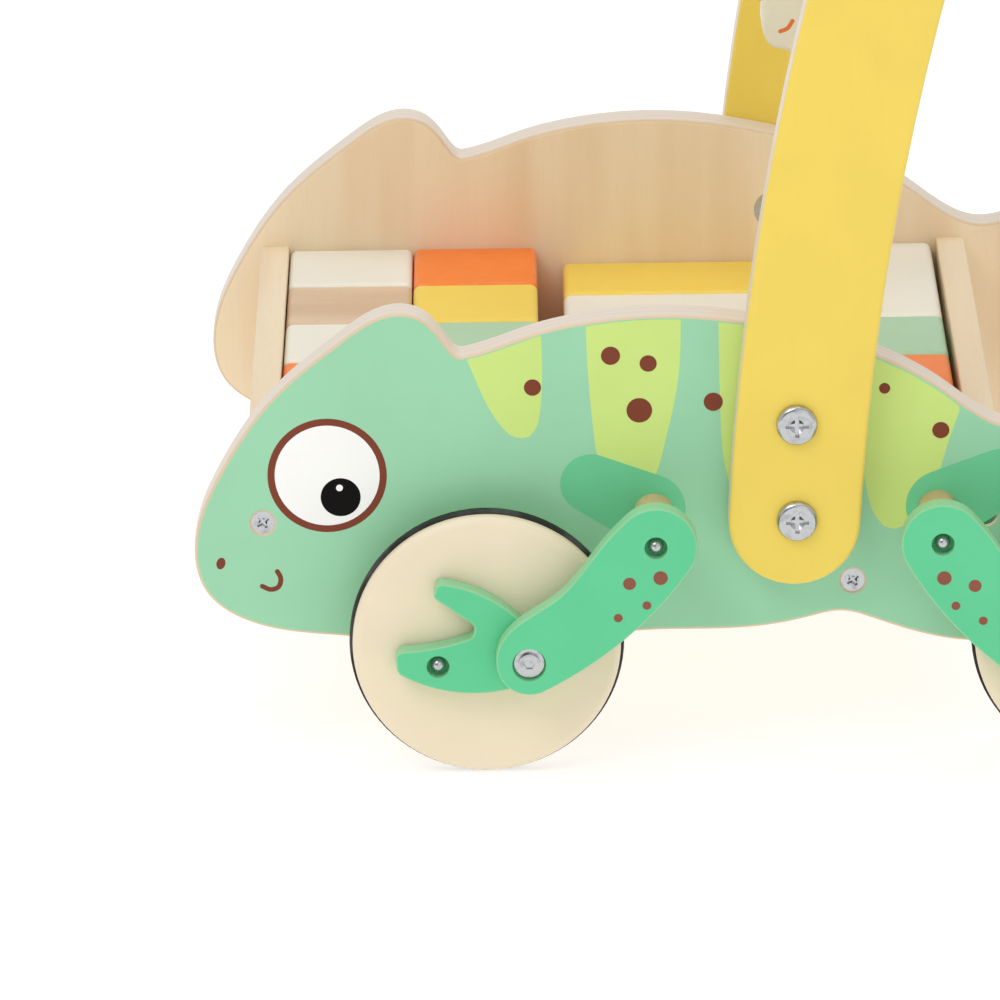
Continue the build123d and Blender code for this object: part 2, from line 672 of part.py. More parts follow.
tray_board("front_board", TRAY_FRONT - BOARD_T, TRAY_FRONT, BOARD_TOP, [END_SCREWS["front"]])
tray_board("rear_board", TRAY_REAR, TRAY_REAR + BOARD_T, BOARD_TOP, [END_SCREWS["rear"]])
tray_board("floor_board", TRAY_FRONT, TRAY_REAR, FLOOR_TOP, FLOOR_SCREWS)
board_screws()
axle_bushes()
shoulder_pins()
shoulder_spacers()
pan_bolts("arm_bolts", ARM_BOLT_R, TRAY_HALF + SLEEVE_HEAD_T, ARM_BOLTS)
sleeve_nuts()
handle_bar()
pan_bolts("bar_screws", BAR_SCREW_R, PANEL_OUT + SCREW_SPARE - BAR_SCREW_IN, [BAR_POINT])
bird_rod()
bird_rings()
bird()
bird_beak()

COLUMNS = (
    ("nose", COLUMN_1, {"white": (0, 2), "natural": (1,), "orange": (3,), "yellow": (4,)}),
    ("neck", COLUMN_2, {"orange": (0,), "yellow": (1,), "mint": (2,), "white": (3,), "natural": (4,)}),
)
for column, start_x, colours in COLUMNS:
    for colour, picks in colours.items():
        blocks(f"{column}_block_{colour}", start_x, BLOCK, BLOCK_H, rows_of(FIRST_ROW, BLOCK, picks))

for colour, picks in {"yellow": (0, 2, 4), "white": (1, 3)}.items():
    rows = rows_of(FIRST_ROW, BRICK_W, picks)
    blocks(f"long_brick_{colour}", COLUMN_3, BRICK_L, BRICK_H, rows)

blocks("tail_brick_white", COLUMN_4, BLOCK, BLOCK_H, [(FIRST_ROW, BRICK_L)])
after_brick = FIRST_ROW - BRICK_L - ROW_GAP
for row, colour in enumerate(("mint", "orange", "natural")):
    rows = rows_of(after_brick, BLOCK, [row])
    blocks(f"tail_block_{colour}", COLUMN_4, BLOCK, BLOCK_H, rows)
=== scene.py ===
import math

import bmesh
import bpy
import numpy as np
from mathutils import Matrix, Vector


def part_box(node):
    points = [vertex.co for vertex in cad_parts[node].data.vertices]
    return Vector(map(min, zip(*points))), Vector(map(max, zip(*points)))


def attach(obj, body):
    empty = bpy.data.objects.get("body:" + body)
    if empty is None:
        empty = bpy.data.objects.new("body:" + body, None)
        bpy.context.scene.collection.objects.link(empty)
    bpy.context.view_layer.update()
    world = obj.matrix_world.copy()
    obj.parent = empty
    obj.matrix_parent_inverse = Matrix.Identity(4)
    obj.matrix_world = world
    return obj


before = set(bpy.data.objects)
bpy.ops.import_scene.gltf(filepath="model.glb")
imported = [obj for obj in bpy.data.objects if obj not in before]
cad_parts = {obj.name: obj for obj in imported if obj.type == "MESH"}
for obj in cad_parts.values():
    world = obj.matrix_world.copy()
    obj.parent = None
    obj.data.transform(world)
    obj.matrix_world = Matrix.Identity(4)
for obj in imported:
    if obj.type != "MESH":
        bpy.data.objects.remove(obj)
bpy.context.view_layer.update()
MM = 0.001
SIDES = {"left": -1, "right": 1}     # sign of Y on each side
DARKER = 0.93            # the darker tone in a paint, as a share of its colour


# ------------------------------------------------------------------ colours
def rgb(red, green, blue):
    """An 8-bit display colour as linear RGBA."""
    def linear(value):
        value /= 255
        return value / 12.92 if value <= 0.04045 else ((value + 0.055) / 1.055) ** 2.4
    return (linear(red), linear(green), linear(blue), 1.0)


MINT = rgb(158, 217, 178)
DEEP_MINT = rgb(116, 210, 158)
LIMB_GREEN = rgb(98, 208, 152)
LIMB_EDGE = rgb(112, 207, 146)
LIME = rgb(209, 234, 136)
BROWN = rgb(130, 66, 48)
LIMB_BROWN = rgb(146, 88, 70)
EYE_WHITE = rgb(252, 252, 250)
BLACK = rgb(8, 6, 6)
YELLOW = rgb(244, 215, 96)
CREAM = rgb(242, 227, 198)
PLY_EDGE = rgb(228, 217, 204)
PLY_DARK = rgb(216, 194, 166)
PLY_TAN = rgb(224, 194, 156)
BIRCH = rgb(242, 224, 194)
BIRCH_DARK = rgb(234, 209, 174)
PALE_BIRCH = rgb(238, 220, 190)
PALE_BIRCH_DARK = rgb(229, 206, 172)
BEECH = rgb(222, 196, 166)
BEECH_DARK = rgb(207, 177, 145)
BLOCK_COLOURS = {
    "white": rgb(238, 234, 220),
    "orange": rgb(248, 132, 50),
    "yellow": rgb(244, 212, 88),
    "mint": rgb(172, 210, 174),
}
SPACER_WOOD = rgb(214, 190, 140)
SPACER_DARK = rgb(190, 160, 112)
TYRE_BLACK = rgb(30, 27, 25)
SILICONE = rgb(232, 224, 205)
NYLON = rgb(236, 236, 232)
ZINC_GREY = rgb(192, 194, 198)
ZINC_SPOT = rgb(128, 130, 136)
STEEL_GREY = rgb(196, 196, 198)
STEEL_SPOT = rgb(150, 150, 152)
BRASS_GOLD = rgb(205, 172, 98)
BRASS_SPOT = rgb(160, 122, 62)
BIRD_WHITE = rgb(230, 228, 210)
BEAK_ORANGE = rgb(206, 110, 52)
STROKE_ORANGE = rgb(226, 124, 62)


def shade(colour, share):
    """A darker tone, as a share of the colour."""
    return tuple(share * channel for channel in colour[:3]) + (1.0,)


def tint(colour, share):
    """A paler tone, part of the way to white."""
    return tuple(channel + share * (1 - channel) for channel in colour[:3]) + (1.0,)


# Blends between faces and edges: how much of a face's normal lies along Y, from and to.
FLAT = (0.90, 0.985)
PANEL_FLAT = (0.90, 0.97)
PARTLY_ROUND = (0.25, 0.8)
MOSTLY_ROUND = (0.35, 0.6)
NOISE_SPAN = (0.2, 0.8)  # what a noise from 0 to 1 mostly fills
# Shares of darker and paler tones.
FLECK_SHADE = 0.72
SKIN_DARKER = 0.94       # darker tone of moulded plastic
WORN_TINT = 0.25         # edges worn by hands
DUST_TINT = 0.06


# ------------------------------------------------------------ node materials
class Finish:
    """One node material, with short names for the nodes that the finishes share."""

    def __init__(self, name, roughness, metallic=0.0, specular=0.3):
        self.material = bpy.data.materials.new(name)
        self.material.use_nodes = True
        self.tree = self.material.node_tree
        self.tree.nodes.clear()
        self.shader = self.add("ShaderNodeBsdfPrincipled", {"Roughness": roughness, "Metallic": metallic})
        self.shader.inputs["Specular IOR Level"].default_value = specular
        self.roughness = roughness
        output = self.add("ShaderNodeOutputMaterial")
        self.tree.links.new(self.shader.outputs[0], output.inputs[0])
        here = self.add("ShaderNodeTexCoord")
        self.place = here.outputs["Object"]
        self.facing = here.outputs["Normal"]

    def add(self, kind, values=None, **properties):
        """A node, with its inputs set or linked by name or number."""
        node = self.tree.nodes.new(kind)
        for key, value in properties.items():
            setattr(node, key, value)
        for key, value in (values or {}).items():
            self.feed(node.inputs[key], value)
        return node

    def feed(self, socket, value):
        """Set an input to a value, or link it to another node's output."""
        if isinstance(value, bpy.types.NodeSocket):
            self.tree.links.new(value, socket)
        else:
            socket.default_value = value

    def math(self, operation, first, second=0.0):
        return self.add("ShaderNodeMath", {0: first, 1: second}, operation=operation).outputs[0]

    def mix(self, share, first, second):
        """The second colour over the first, by a share from 0 to 1."""
        node = self.add("ShaderNodeMix", {0: share, 6: first, 7: second}, data_type="RGBA")
        return node.outputs[2]

    def axes(self, vector):
        return self.add("ShaderNodeSeparateXYZ", {0: vector}).outputs

    def step(self, value, low, high, low_to=0.0, high_to=1.0):
        """Smooth step of a value, from one number to another."""
        values = {0: value, 1: low, 2: high, 3: low_to, 4: high_to}
        return self.add("ShaderNodeMapRange", values, interpolation_type="SMOOTHSTEP").outputs[0]

    def noise(self, stretch, scale, detail=3.0, rough=0.5):
        """Noise in the object's own space, stretched by a factor for each axis."""
        moved = self.add("ShaderNodeMapping", {"Vector": self.place, "Scale": stretch}).outputs[0]
        values = {"Vector": moved, "Scale": scale, "Detail": detail, "Roughness": rough}
        return self.add("ShaderNodeTexNoise", values).outputs[0]

    def outward(self):
        """1 on faces that look away from the middle plane, -1 on those that look to it."""
        side = self.math("SIGN", self.axes(self.place)[1])
        return self.math("MULTIPLY", self.axes(self.facing)[1], side)

    def flatness(self):
        """1 on faces square to Y and 0 on the sawn edges."""
        return self.step(self.math("ABSOLUTE", self.axes(self.facing)[1]), *FLAT)

    def painted_round(self):
        """1 on faces square to Y and on most of their rounded edges."""
        return self.step(self.math("ABSOLUTE", self.axes(self.facing)[1]), *MOSTLY_ROUND)

    def bump(self, height, depth, strength=1.0):
        """Relief of a depth in metres, added to any relief already there."""
        values = {"Height": height, "Distance": depth, "Strength": strength}
        before = self.shader.inputs["Normal"]
        if before.is_linked:
            values["Normal"] = before.links[0].from_socket
        self.feed(before, self.add("ShaderNodeBump", values).outputs[0])

    def gloss(self, value, spread):
        """Roughness that varies with a 0 to 1 value."""
        low, high = self.roughness - spread, self.roughness + spread
        self.feed(self.shader.inputs["Roughness"], self.step(value, *NOISE_SPAN, low, high))

    def colour(self, value):
        self.feed(self.shader.inputs["Base Color"], value)
        return self.material


# Stretch of a noise: even, or drawn out along the fibres of the wood.
EVEN = (1, 1, 1)
DRAWN = 0.08
GRAIN = {"X": (DRAWN, 1, 1), "Y": (1, DRAWN, 1), "Z": (1, 1, DRAWN)}
# Noise scales, in waves per metre.
CLOUD = 35.0             # unevenness of a paint coat
PATCH = 60.0
FIGURE = 70.0            # broad figure of the wood
ARM_SHEEN = 80.0
HANDLED = 90.0
BLOCK_SHEEN = 120.0
WEAR = 160.0             # worn edges of the blocks
SPOT = 420.0             # spots on metal
SAWN = 500.0             # sawn fibres on a plywood edge
COATED_FIBRE = 700.0     # fibres that show through paint
FIBRE = 900.0
SKIN = 1300.0            # satin skin of moulded plastic
FLECK = 1400.0
RUBBER = 1500.0
MARK = 1800.0            # brush and turning marks on metal
# Depths of relief, in metres.
INK_RELIEF = 0.00006
PAINT_RELIEF = 0.00008
BLOCK_RELIEF = 0.00010
WOOD_RELIEF = 0.00012
SKIN_RELIEF = 0.00003
# Layers on the edges of plywood.
PLY_WAVER = 0.0006       # how far the layers of plywood wander
PLY_LAYERS = 7
TAN_SHARE = 0.8          # how far a rounded edge of plywood turns tan


def grain(finish, along, light, dark, contrast=1.0, fleck_share=0.0):
    """Wood colour with broad figure, fine fibres and short dark flecks along one axis."""
    stretch = GRAIN[along]
    figure = finish.noise(stretch, FIGURE, 2.0, 0.4)
    fibres = finish.noise(stretch, FIBRE, 4.0, 0.6)
    flecks = finish.noise(tuple(3 * s if s < 1 else s for s in stretch), FLECK, 1.0, 0.3)
    tone = finish.step(figure, 0.35, 0.70)
    body = finish.mix(finish.math("MULTIPLY", tone, contrast), light, dark)
    streak = finish.step(fibres, 0.42, 0.75, 0.0, 0.28 * contrast)
    body = finish.mix(streak, body, dark)
    fleck = finish.step(flecks, 0.66, 0.74, 0.0, fleck_share)
    body = finish.mix(fleck, body, shade(dark, FLECK_SHADE))
    return body, fibres


def paint(finish, colour, along):
    """Thin paint over wood: slight unevenness and the fibres just showing."""
    patchy = finish.noise(EVEN, CLOUD, 3.0)
    fibres = finish.noise(GRAIN[along], COATED_FIBRE, 3.0, 0.55)
    darker = shade(colour, DARKER)
    tone = finish.mix(finish.step(patchy, 0.3, 0.75, 0.0, 0.6), colour, darker)
    tone = finish.mix(finish.step(fibres, 0.5, 0.8, 0.0, 0.16), tone, darker)
    return tone, fibres


def ply_edge(finish, start, thickness):
    """Sawn edge of plywood: layers across the thickness, from a distance from the middle."""
    depth = finish.math("ABSOLUTE", finish.axes(finish.place)[1])
    depth = finish.math("SUBTRACT", depth, start)
    wobble = finish.noise(EVEN, PATCH, 2.0)
    depth = finish.math("ADD", depth, finish.math("MULTIPLY", wobble, PLY_WAVER))
    wave = finish.math("SINE", finish.math("MULTIPLY", depth, PLY_LAYERS * math.pi / thickness))
    fibre = finish.noise((1, 4, 1), SAWN, 2.0)
    dark = finish.step(wave, -0.2, 0.5, 0.0, 0.30)
    dark = finish.math("MULTIPLY", dark, finish.step(fibre, 0.2, 0.7, 0.55, 1.0))
    tone = finish.mix(dark, PLY_EDGE, PLY_DARK)
    rounding = finish.math("ABSOLUTE", finish.axes(finish.facing)[1])
    return finish.mix(finish.step(rounding, *PARTLY_ROUND, 0.0, TAN_SHARE), tone, PLY_TAN)


def panel_finish():
    """Painted outside, bare birch inside, bare plywood on the edges."""
    f = Finish("panel", 0.42)
    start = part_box("side_panel_right")[0].y
    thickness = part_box("side_panel_right")[1].y - start
    veneer, veneer_relief = grain(f, "Z", BIRCH, BIRCH_DARK, 0.8)
    coat, coat_relief = paint(f, MINT, "X")
    edge = ply_edge(f, start, thickness)
    outside = f.step(f.outward(), *PANEL_FLAT)
    inside = f.step(f.outward(), -PANEL_FLAT[1], -PANEL_FLAT[0], 1.0, 0.0)
    tone = f.mix(inside, edge, veneer)
    tone = f.mix(outside, tone, coat)
    f.gloss(f.mix(outside, veneer_relief, f.noise(EVEN, HANDLED)), 0.06)
    f.bump(f.mix(outside, veneer_relief, coat_relief), BLOCK_RELIEF, 0.35)
    return f.colour(tone)


def coated_ply(name, colour, edge_colour, along, edge_share, roughness=0.42):
    """Both faces painted; the edges are thinly painted or bare."""
    f = Finish(name, roughness)
    coat, relief = paint(f, colour, along)
    wood, _ = grain(f, along, PLY_EDGE, PLY_DARK, 0.6)
    edge = f.mix(edge_share, wood, edge_colour)
    f.gloss(f.noise(EVEN, HANDLED), 0.05)
    f.bump(relief, PAINT_RELIEF, 0.35)
    return f.colour(f.mix(f.flatness(), edge, coat))


def arm_finish():
    """Yellow faces and bare layered edges."""
    f = Finish("arm", 0.40)
    low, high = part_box("handle_arm_right")
    coat, relief = paint(f, YELLOW, "Z")
    edge = ply_edge(f, low.y, high.y - low.y)
    f.gloss(f.noise(EVEN, ARM_SHEEN), 0.05)
    f.bump(relief, PAINT_RELIEF, 0.35)
    return f.colour(f.mix(f.painted_round(), edge, coat))


def wood_finish(name, light, dark, along, roughness=0.5, flecks=0.0):
    """Sanded bare wood."""
    f = Finish(name, roughness)
    body, relief = grain(f, along, light, dark, 0.9, flecks)
    f.gloss(relief, 0.06)
    f.bump(relief, WOOD_RELIEF, 0.4)
    return f.colour(body)


def painted_wood(name, colour, along="X", roughness=0.36):
    """Painted solid wood, as on the blocks, with edges handled a little paler."""
    f = Finish(name, roughness)
    coat, relief = paint(f, colour, along)
    x, y, z = f.axes(f.facing)
    largest = f.math("MAXIMUM", f.math("ABSOLUTE", x), f.math("ABSOLUTE", y))
    largest = f.math("MAXIMUM", largest, f.math("ABSOLUTE", z))
    worn = f.step(largest, 0.75, 0.99, 0.30, 0.0)
    worn = f.math("MULTIPLY", worn, f.step(f.noise(EVEN, WEAR), 0.35, 0.65))
    paler = tint(colour, WORN_TINT)
    f.gloss(f.noise(EVEN, BLOCK_SHEEN), 0.06)
    f.bump(relief, BLOCK_RELIEF, 0.4)
    return f.colour(f.mix(worn, coat, paler))


def ink(name, colour, roughness=0.45):
    """Printed ink on the painted plywood."""
    f = Finish(name, roughness, specular=0.12)
    coat, relief = paint(f, colour, "X")
    f.gloss(f.noise(EVEN, HANDLED), 0.05)
    f.bump(relief, INK_RELIEF, 0.3)
    return f.colour(coat)


def rubber_finish(name, colour, roughness):
    """Soft moulded rubber with fine grain and a little dust."""
    f = Finish(name, roughness, specular=0.35)
    grainy = f.noise(EVEN, RUBBER, 2.0)
    dust = f.noise(EVEN, HANDLED, 3.0)
    paler = tint(colour, DUST_TINT)
    f.gloss(grainy, 0.08)
    f.bump(grainy, PAINT_RELIEF, 0.5)
    return f.colour(f.mix(f.step(dust, 0.4, 0.75), colour, paler))


def metal_finish(name, colour, dark, roughness, brush=None):
    """Plated or turned metal with fine marks and darker spots."""
    f = Finish(name, roughness, metallic=1.0)
    marks = f.noise(GRAIN[brush] if brush else EVEN, MARK, 3.0)
    spots = f.noise(EVEN, SPOT, 3.0)
    f.gloss(marks, 0.07)
    f.bump(marks, SKIN_RELIEF, 0.3)
    return f.colour(f.mix(f.step(spots, 0.45, 0.8, 0.0, 0.5), colour, dark))


def plastic_finish(name, colour, roughness):
    """Moulded plastic with a fine satin skin."""
    f = Finish(name, roughness)
    skin = f.noise(EVEN, SKIN, 2.0)
    darker = shade(colour, SKIN_DARKER)
    f.gloss(skin, 0.05)
    f.bump(skin, SKIN_RELIEF, 0.3)
    return f.colour(f.mix(f.step(f.noise(EVEN, PATCH), 0.4, 0.7), colour, darker))


ZINC = metal_finish("zinc", ZINC_GREY, ZINC_SPOT, 0.22)
SATIN_STEEL = metal_finish("steel", STEEL_GREY, STEEL_SPOT, 0.30, "Y")
BRASS = metal_finish("brass", BRASS_GOLD, BRASS_SPOT, 0.28, "Y")

NODE_FINISH = {
    "side_panel": panel_finish(),
    "handle_arm": arm_finish(),
    "wheel": coated_ply("wheel_paint", CREAM, CREAM, "X", 0.75),
    "limb": coated_ply("limb_paint", LIMB_GREEN, LIMB_EDGE, "X", 0.80),
    "front_board": wood_finish("board_wood", PALE_BIRCH, PALE_BIRCH_DARK, "Y"),
    "handle_bar": wood_finish("bar_wood", BIRCH, BIRCH_DARK, "Y", 0.38),
    "shoulder_spacers": wood_finish("spacer_wood", SPACER_WOOD, SPACER_DARK, "Y"),
    "tyres": rubber_finish("tyre_rubber", TYRE_BLACK, 0.62),
    "bird_rings": rubber_finish("ring_silicone", SILICONE, 0.5),
    "axle_bushes": plastic_finish("bush_nylon", NYLON, 0.4),
    "axle": SATIN_STEEL,
    "crank_inserts": BRASS,
    "metal": ZINC,
    "bird": painted_wood("bird_paint", BIRD_WHITE),
    "bird_beak": painted_wood("beak_paint", BEAK_ORANGE),
    "natural": wood_finish("block_wood", BEECH, BEECH_DARK, "X", 0.44, 0.3),
}
for colour_name, colour in BLOCK_COLOURS.items():
    NODE_FINISH[colour_name] = painted_wood("block_" + colour_name, colour)

METAL_WORDS = ("screws", "bolt", "pin_", "pins", "nuts")


def finish_key(node):
    """Which finish a CAD node takes, from its name."""
    if node.startswith(("side_panel", "handle_arm")):
        return node.rsplit("_", 1)[0]
    if "_block_" in node or "_brick_" in node:
        return node.rsplit("_", 1)[1]
    if "_wheel_" in node:
        return "wheel"
    if "_leg_" in node or "_foot_" in node:
        return "limb"
    if node in NODE_FINISH:
        return node
    for word in ("tyres", "crank_inserts"):
        if node.endswith(word):
            return word
    if any(word in node for word in METAL_WORDS):
        return "metal"
    if node.endswith("_axle"):
        return "axle"
    return "handle_bar" if node.endswith("rod") else "front_board"


for node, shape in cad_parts.items():
    shape.data.materials.clear()
    shape.data.materials.append(NODE_FINISH[finish_key(node)])


# ------------------------------------------------------------------- prints
FILM_BACK = 0.3 * MM     # how far a print reaches into the wood, out of sight
FILM = 0.03 * MM         # how far each layer of print stands out
ROUND_POINTS = 64        # corners of a printed circle
CURVE_POINTS = 12        # corners between two points of a printed curve
RIDGE_POINTS = 16        # corners of a stripe along the panel's edge
CAP_STEPS = 12           # steps round the end of a brush stroke
CAPSULE_POINTS = 24      # corners round each end of a capsule


def ellipse(x, z, half_x, half_z=None, tilt=0.0):
    """Closed outline of an ellipse in millimetres."""
    half_z = half_z or half_x
    turn = math.radians(tilt)
    outline = []
    for index in range(ROUND_POINTS):
        angle = 2 * math.pi * index / ROUND_POINTS
        across, up = half_x * math.cos(angle), half_z * math.sin(angle)
        outline.append((
            x + across * math.cos(turn) - up * math.sin(turn),
            z + across * math.sin(turn) + up * math.cos(turn),
        ))
    return outline


def smooth(points):
    """Points along a Catmull-Rom curve through an open list of points."""
    padded = [points[0]] + list(points) + [points[-1]]
    curve = []
    for before, start, stop, after in zip(padded, padded[1:], padded[2:], padded[3:]):
        p = [np.array(v, float) for v in (before, start, stop, after)]
        for index in range(CURVE_POINTS):
            t = index / CURVE_POINTS
            curve.append(tuple(0.5 * (
                2 * p[1] + (p[2] - p[0]) * t + (2 * p[0] - 5 * p[1] + 4 * p[2] - p[3]) * t**2
                + (3 * p[1] - p[0] - 3 * p[2] + p[3]) * t**3
            )))
    curve.append(tuple(points[-1]))
    return curve


def stroke(points, width):
    """Outline of a brush stroke with round ends along a smooth line."""
    line = [np.array(p, float) for p in smooth(points)]
    left, right = [], []
    for index, point in enumerate(line):
        ahead = line[min(index + 1, len(line) - 1)] - line[max(index - 1, 0)]
        normal = np.array((-ahead[1], ahead[0])) / np.linalg.norm(ahead) * width / 2
        left.append(point + normal)
        right.append(point - normal)

    def cap(centre, start):
        first = math.atan2(*(start - centre)[::-1])
        turns = [first - math.pi * step / CAP_STEPS for step in range(1, CAP_STEPS)]
        return [centre + width / 2 * np.array((math.cos(a), math.sin(a))) for a in turns]

    return [tuple(p) for p in left + cap(line[-1], left[-1]) + right[::-1] + cap(line[0], right[0])]


def film(name, outlines, face, side, layer, material, body):
    """Print on a flat face: thin closed slabs, one for each outline in (X, Z) millimetres."""
    sign = SIDES[side]
    mesh = bpy.data.meshes.new(name)
    shape = bmesh.new()
    for outline in outlines:
        front = [shape.verts.new((x * MM, sign * (face + layer * FILM), z * MM)) for x, z in outline]
        back = [shape.verts.new((x * MM, sign * (face - FILM_BACK), z * MM)) for x, z in outline]
        shape.faces.new(front)
        shape.faces.new(back[::-1])
        for index in range(len(front)):
            after = (index + 1) % len(front)
            shape.faces.new((front[index], back[index], back[after], front[after]))
    bmesh.ops.recalc_face_normals(shape, faces=shape.faces)
    shape.to_mesh(mesh)
    shape.free()
    piece = bpy.data.objects.new(name, mesh)
    bpy.context.scene.collection.objects.link(piece)
    mesh.materials.append(material)
    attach(piece, body)
    return piece


def top_edge(panel):
    """The painted face's upper edge as sorted X and Z arrays in millimetres."""
    flat = 0.02 * MM
    middle = 90.0
    face = max(abs(v.co.y) for v in panel.data.vertices)
    rim = [v.co for v in panel.data.vertices if abs(v.co.y) > face - flat]
    columns = {}
    for corner in rim:
        x, z = corner.x / MM, corner.z / MM
        if z > middle:
            key = round(x)
            columns[key] = max(columns.get(key, 0.0), z)
    xs = sorted(columns)
    return np.array(xs, float), np.array([columns[x] for x in xs])


PANEL_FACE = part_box("side_panel_right")[1].y
LEG_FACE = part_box("front_leg_right")[1].y
BIRD_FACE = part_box("bird")[1].y
TOP_X, TOP_Z = top_edge(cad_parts["side_panel_right"])


def edge_height(x):
    return float(np.interp(x, TOP_X, TOP_Z))


def stripe(left_side, right_side):
    """Stripe hanging from the back: its two sides run down to a shared tip."""
    below_edge = 0.4
    sides = smooth(left_side) + smooth(right_side[::-1])[1:]
    sides = [(x, z) for x, z in sides if z < edge_height(x) - below_edge]
    ridge = np.linspace(sides[-1][0], sides[0][0], RIDGE_POINTS)
    return sides + [(float(x), edge_height(x)) for x in ridge]


def capsule(first, first_radius, second, second_radius):
    """Outline round two circles and their outer tangents."""
    a, b = np.array(first, float), np.array(second, float)
    gap = b - a
    heading = math.atan2(gap[1], gap[0])
    spread = math.acos((first_radius - second_radius) / np.linalg.norm(gap))
    turns_b = np.linspace(heading - spread, heading + spread, CAPSULE_POINTS)
    turns_a = np.linspace(heading + spread, heading - spread + 2 * math.pi, CAPSULE_POINTS)
    outline = [tuple(b + second_radius * np.array((math.cos(t), math.sin(t)))) for t in turns_b]
    return outline + [tuple(a + first_radius * np.array((math.cos(t), math.sin(t)))) for t in turns_a]


INKS = {
    "lime": ink("ink_lime", LIME),
    "deep_mint": ink("ink_deep_mint", DEEP_MINT),
    "brown": ink("ink_brown", BROWN),
    "limb_brown": ink("ink_limb_brown", LIMB_BROWN),
    "white": ink("ink_white", EYE_WHITE),
    "black": ink("ink_black", BLACK, 0.6),
    "orange": ink("ink_orange", STROKE_ORANGE),
}

STRIPES = [
    stripe([(-99.5, 126.5), (-93.5, 112.0), (-87.8, 103.6), (-83.6, 101.7)],
           [(-77.3, 140.0), (-76.9, 122.0), (-78.0, 108.0), (-80.6, 102.7), (-83.6, 101.7)]),
    stripe([(-63.6, 142.0), (-63.0, 122.0), (-60.5, 96.0), (-56.0, 80.0)],
           [(-34.6, 142.0), (-35.4, 122.0), (-39.0, 103.0), (-44.5, 86.0), (-56.0, 80.0)]),
    stripe([(-23.3, 142.0), (-23.0, 118.0), (-21.8, 94.0), (-16.0, 74.0), (-9.0, 68.0)],
           [(6.0, 140.0), (5.0, 112.0), (1.0, 84.0), (-4.0, 71.0), (-9.0, 68.0)]),
    stripe([(17.5, 134.0), (18.6, 108.0), (22.0, 82.0), (26.0, 73.0), (30.3, 71.0)],
           [(51.0, 112.0), (46.6, 99.0), (42.6, 86.0), (36.5, 74.5), (30.3, 71.0)]),
    stripe([(82.0, 109.0), (84.5, 98.0), (89.0, 88.0), (94.0, 85.0)],
           [(106.0, 118.0), (105.0, 104.0), (101.0, 91.0), (94.0, 85.0)]),
]
TAIL_CURL = [
    (120.0, 74.0), (130.0, 96.0), (152.0, 99.0), (164.0, 82.0), (156.0, 64.0), (141.0, 64.0),
    (137.0, 76.0), (146.0, 84.0),
]
DOTS = [
    (-56.1, 127.7, 2.9), (-44.7, 125.1, 2.6), (-47.5, 110.2, 3.9), (-25.0, 112.6, 2.9),
    (-79.9, 117.9, 2.6), (44.2, 102.6, 2.6), (27.1, 116.2, 1.7), (94.0, 104.0, 2.6), (72.0, 88.0, 2.9),
]
HAUNCH = capsule((-62.4, 86.9), 9.4, (-45.0, 78.4), 11.4)
# Round marks: X, Z and radii.
EYE = (-142.8, 90.6)
EYE_RADIUS = 16.0
EYE_RING_RADIUS = 18.2
PUPIL = (-138.8, 83.6, 6.1)
GLINT = (-139.1, 86.6, 1.05)
NOSTRIL = (-175.8, 62.7, 1.35, 1.9, -15)
SMILE = [(-163.3, 55.2), (-160.7, 54.1), (-158.3, 55.0), (-157.6, 57.6), (-158.6, 59.9)]
LEG_DOTS = {
    "front": [(-42.0, 67.8, 2.2), (-51.4, 66.1, 1.95), (-46.2, 59.1, 1.35), (-54.9, 55.2, 1.35)],
    "rear": [(43.7, 66.6, 2.2), (53.0, 64.0, 1.95), (47.2, 57.7, 1.35), (55.5, 52.8, 1.35)],
}
BIRD_STROKE = [(-0.9, 199.5), (1.4, 200.5), (2.9, 202.8)]
BIRD_EYE = (2.5, 218.0, 1.6)
# Widths of the brush strokes.
TAIL_WIDTH = 7.0
SMILE_WIDTH = 1.5
CHEEK_WIDTH = 1.3


def mirrored(outline):
    return [(-x, z) for x, z in outline]


for side in SIDES:
    prints = (
        ("haunches", [HAUNCH, mirrored(HAUNCH)], 2, "deep_mint"),
        ("stripes", STRIPES, 1, "lime"),
        ("tail_curl", [stroke(TAIL_CURL, TAIL_WIDTH)], 1, "lime"),
        ("dots", [ellipse(x, z, r) for x, z, r in DOTS], 3, "brown"),
        ("eye_ring", [ellipse(*EYE, EYE_RING_RADIUS)], 1, "brown"),
        ("eye_white", [ellipse(*EYE, EYE_RADIUS)], 2, "white"),
        ("pupil", [ellipse(*PUPIL)], 3, "black"),
        ("eye_glint", [ellipse(*GLINT)], 4, "white"),
        ("nostril", [ellipse(*NOSTRIL)], 1, "brown"),
        ("smile", [stroke(SMILE, SMILE_WIDTH)], 1, "brown"),
    )
    for label, outlines, layer, colour_name in prints:
        film(f"{label}_{side}", outlines, PANEL_FACE, side, layer, INKS[colour_name], "chassis")
    for end, dots in LEG_DOTS.items():
        outlines = [ellipse(x, z, r) for x, z, r in dots]
        body = f"{end}_{side}_leg"
        film(f"{body}_dots", outlines, LEG_FACE, side, 1, INKS["limb_brown"], body)
    cheek = stroke(BIRD_STROKE, CHEEK_WIDTH)
    film(f"bird_cheek_{side}", [cheek], BIRD_FACE, side, 1, INKS["orange"], "spinning_bird")
    eye = ellipse(*BIRD_EYE)
    film(f"bird_eye_{side}", [eye], BIRD_FACE, side, 1, INKS["brown"], "spinning_bird")

# ------------------------------------------------------------ floor and light
FLOOR = 6.0              # metres from the middle to an edge
PAPER = (0.42, 0.41, 0.39, 1.0)
GLOW = (1.0, 0.995, 0.98, 1.0)
GLOW_STRENGTH = 0.72
SKY_STRENGTH = 0.70
